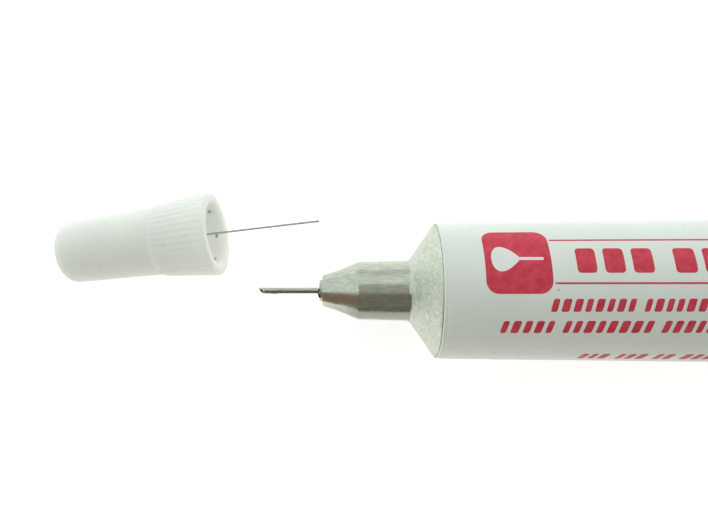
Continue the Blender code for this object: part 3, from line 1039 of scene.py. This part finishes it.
def make_floor():
    """A plain pale floor, faintly lit from below as a light table is."""
    made = Finish("pale_floor", (0.92, 0.92, 0.92), 0.7)
    made.colour(made.mix(made.noise(0.02, 3), (0.915, 0.915, 0.915), (0.925, 0.925, 0.925)))
    made.set(made.shader, "Emission Color", (1, 1, 1, 1))
    made.set(made.shader, "Emission Strength", FLOOR_GLOW)
    data = bpy.data.meshes.new("floor")
    square = ((-1, -1), (1, -1), (1, 1), (-1, 1))
    corners = [(x * FLOOR_REACH, y * FLOOR_REACH, 0) for x, y in square]
    data.from_pydata(corners, [], [(0, 1, 2, 3)])
    data.materials.append(made.material)
    floor = bpy.data.objects.new("floor", data)
    floor.location.z = -FLOOR_GAP
    bpy.context.scene.collection.objects.link(floor)


def make_light():
    """A soft white tent, open and dim overhead and towards -Y, and two soft lamps.

    The large lamp stands above the +Y side, and the small one lights the cap from beside it.
    """
    world = bpy.data.worlds.new("studio")
    world.use_nodes = True
    bpy.context.scene.world = world
    tree = world.node_tree
    parts = tree.nodes.new("ShaderNodeSeparateXYZ")
    tree.links.new(tree.nodes.new("ShaderNodeTexCoord").outputs["Generated"], parts.inputs[0])
    front = ramp(tree, parts.outputs["Y"], *DIM_TO_OVERHEAD_Y)
    side = ramp(tree, parts.outputs["X"], *OVERHEAD_TO_END_X)
    side = joined(tree, "MULTIPLY", side, front)
    lit = joined(tree, "MAXIMUM", ramp(tree, parts.outputs["Y"], *OVERHEAD_TO_WALL_Y), side)
    low = ramp(tree, parts.outputs["Z"], *DIM_TO_HORIZON_Z)
    dim = blend(tree, low, DIM_LIGHT, TENT_EDGE_LIGHT)
    overhead = blend(tree, front, dim, OVERHEAD_LIGHT)
    edge = ramp(tree, parts.outputs["Y"], *WALL_TO_EDGE_Y)
    tent = blend(tree, edge, TENT_LIGHT, TENT_EDGE_LIGHT)
    tree.links.new(blend(tree, lit, overhead, tent), tree.nodes["Background"].inputs["Color"])

    make_lamp("soft_key", size=(0.5, 0.3), energy=0.36, place=(-0.02, 0.28, 0.48), target=(0, 0, 0))
    beside_cap, cap_middle = (-0.075, -0.07, 0.035), (-0.05, 0.003, 0.004)
    make_lamp("cap_fill", size=(0.06, 0.06), energy=0.009, place=beside_cap, target=cap_middle)


def make_lamp(name, size, energy, place, target):
    """A soft rectangular lamp that is seen in no reflection."""
    data = bpy.data.lights.new(name, "AREA")
    data.shape = "RECTANGLE"
    data.size, data.size_y = size
    data.energy = energy
    lamp = bpy.data.objects.new(name, data)
    lamp.location = place
    lamp.rotation_euler = (Vector(target) - lamp.location).to_track_quat("-Z", "Y").to_euler()
    lamp.visible_camera = False
    lamp.visible_glossy = False
    bpy.context.scene.collection.objects.link(lamp)


def ramp(tree, value, low, high):
    """A smooth step of a value from low to high."""
    made = tree.nodes.new("ShaderNodeMapRange")
    made.interpolation_type = "SMOOTHSTEP"
    made.inputs["From Min"].default_value = low
    made.inputs["From Max"].default_value = high
    tree.links.new(value, made.inputs["Value"])
    return made.outputs[0]


def joined(tree, operation, first, second):
    """The result of an operation on two values."""
    made = tree.nodes.new("ShaderNodeMath")
    made.operation = operation
    tree.links.new(first, made.inputs[0])
    tree.links.new(second, made.inputs[1])
    return made.outputs[0]


def blend(tree, share, first, second):
    """Mix two colours, which may be fixed or come from other nodes, by a share."""
    made = tree.nodes.new("ShaderNodeMix")
    made.data_type = "RGBA"
    tree.links.new(share, made.inputs[0])
    for index, value in ((6, first), (7, second)):
        if isinstance(value, tuple):
            made.inputs[index].default_value = value
        else:
            tree.links.new(value, made.inputs[index])
    return made.outputs[2]


# ---------------------------------------------------------------- the object

def dress(made, moving_body, slot, *nodes):
    """Say which body a piece rides on and which CAD nodes it stands for; the slot is not used."""
    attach(made, moving_body)
    if nodes:
        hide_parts(*nodes)


def main():
    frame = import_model()
    bpy.context.scene.view_settings.view_transform = "Standard"
    make_camera()
    make_floor()
    make_light()

    bottle = bottle_frame()
    cap = cap_frame(bottle.translation.x)
    nose = bottle.translation.x + NECK_END * MM
    enamel = enamel_finish()
    dress(make_tube_skin(bottle, enamel), "tube", "enamel", "tube_wall")
    dress(make_tail_fold(bottle, enamel), "tube", "enamel")
    dress(make_print(bottle, print_finish()), "tube", "enamel")
    dress(make_print_light(bottle, tile_light_finish()), "tube", "enamel")
    nozzle = make_nozzle(bottle, cone_finish(), neck_finish(nose))
    dress(nozzle, "tube", "bare_aluminium", "nozzle_shoulder")
    dress(make_hub(bottle, hub_finish()), "tube", "hub_metal", "needle_hub")
    dress(make_needle(bottle, needle_finish(), bore_painted_shade_finish()), "tube", "needle_steel", "needle")
    dark = bead_finish()
    dress(make_bead(bottle, dark), "tube", "sealant", "needle_seal")
    for name, centre, size in RESIDUE:
        dress(make_residue(name, centre, size, bottle, dark), "tube", "sealant")
    dress(make_smear(bottle, smear_finish()), "tube", "cement")
    outer = plastic_finish("white_plastic", (0.86, 0.905, 0.83), (0.88, 0.92, 0.85))
    # Painted light: the cap's bore gets a lighter copy of the same plastic, brightening it against
    # its shade.
    inner_light_and_shade = plastic_finish("bore_plastic_painted_light", (0.95, 0.972, 0.92), (0.965, 0.987, 0.935))
    dress(make_cap(cap, outer, inner_light_and_shade, nub_shade_finish()), "cap", "cap_plastic", "cap_shell")
    dress(make_wire(cap, wire_finish()), "cap", "wire_steel", "cleaning_wire")
    latex = plain_inner("latex", (0.72, 0.66, 0.45), (0.6, 0.54, 0.36), 0.6, 1.0)
    repaint(frame, "end_seal", latex)
    cement = plain_inner("clear_cement", (0.86, 0.86, 0.80), (0.8, 0.8, 0.7), 0.15, 0.3)
    repaint(frame, "cement", cement)


def repaint(frame, node, finish):
    """Give a CAD node a better material."""
    for slot in frame["nodes"][node].material_slots:
        slot.material = finish


main()
